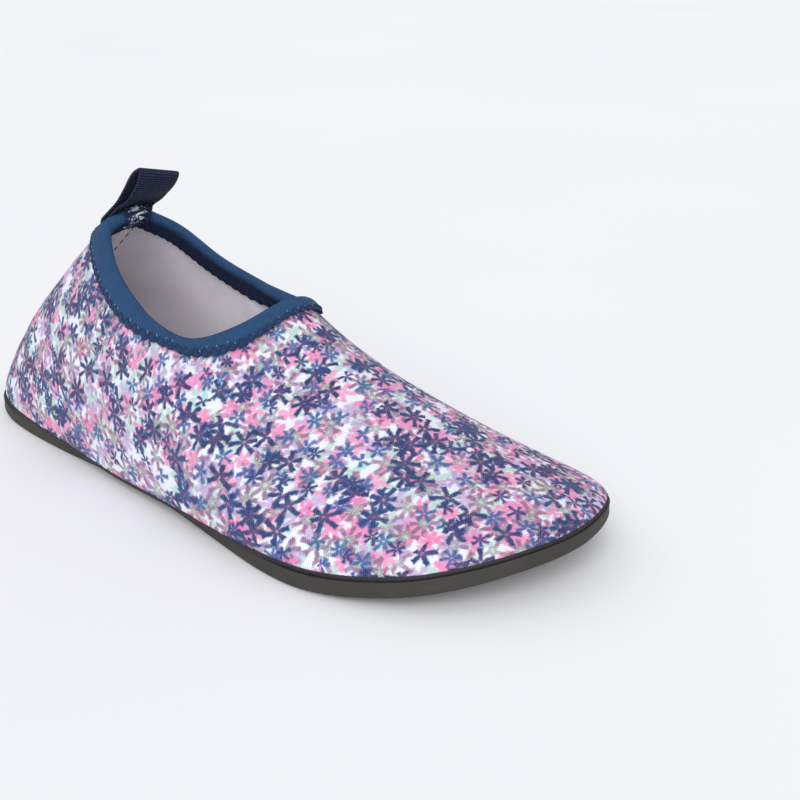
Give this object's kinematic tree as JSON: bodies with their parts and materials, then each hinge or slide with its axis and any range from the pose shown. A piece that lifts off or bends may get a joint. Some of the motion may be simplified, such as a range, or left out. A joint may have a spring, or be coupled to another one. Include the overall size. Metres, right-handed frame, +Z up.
{
  "type": "water_shoe",
  "caption": "Right-foot slip-on water shoe with a stretch upper in a small floral print, navy collar binding, heel pull loop and flat rubber outsole, empty and unbent",
  "frame": {"origin": "middle of the shoe's box on the floor it stands on", "axes": "+X from heel to toe, +Y to the big toe's side, +Z up"},
  "size_m": [0.2424, 0.095, 0.0957],
  "materials": {
    "outsole_rubber": "matte",
    "seam_cement": "matte",
    "insole_fabric": "matte",
    "print_fabric": "satin",
    "binding_fabric": "matte",
    "loop_webbing": "matte"
  },
  "bodies": {
    "root": {"outsole": "outsole_rubber", "sole_seam": "seam_cement", "insole": "insole_fabric", "upper": "print_fabric", "collar_binding": "binding_fabric", "pull_loop": "loop_webbing", "heel_tape": "loop_webbing"}
  },
  "joints": []
}
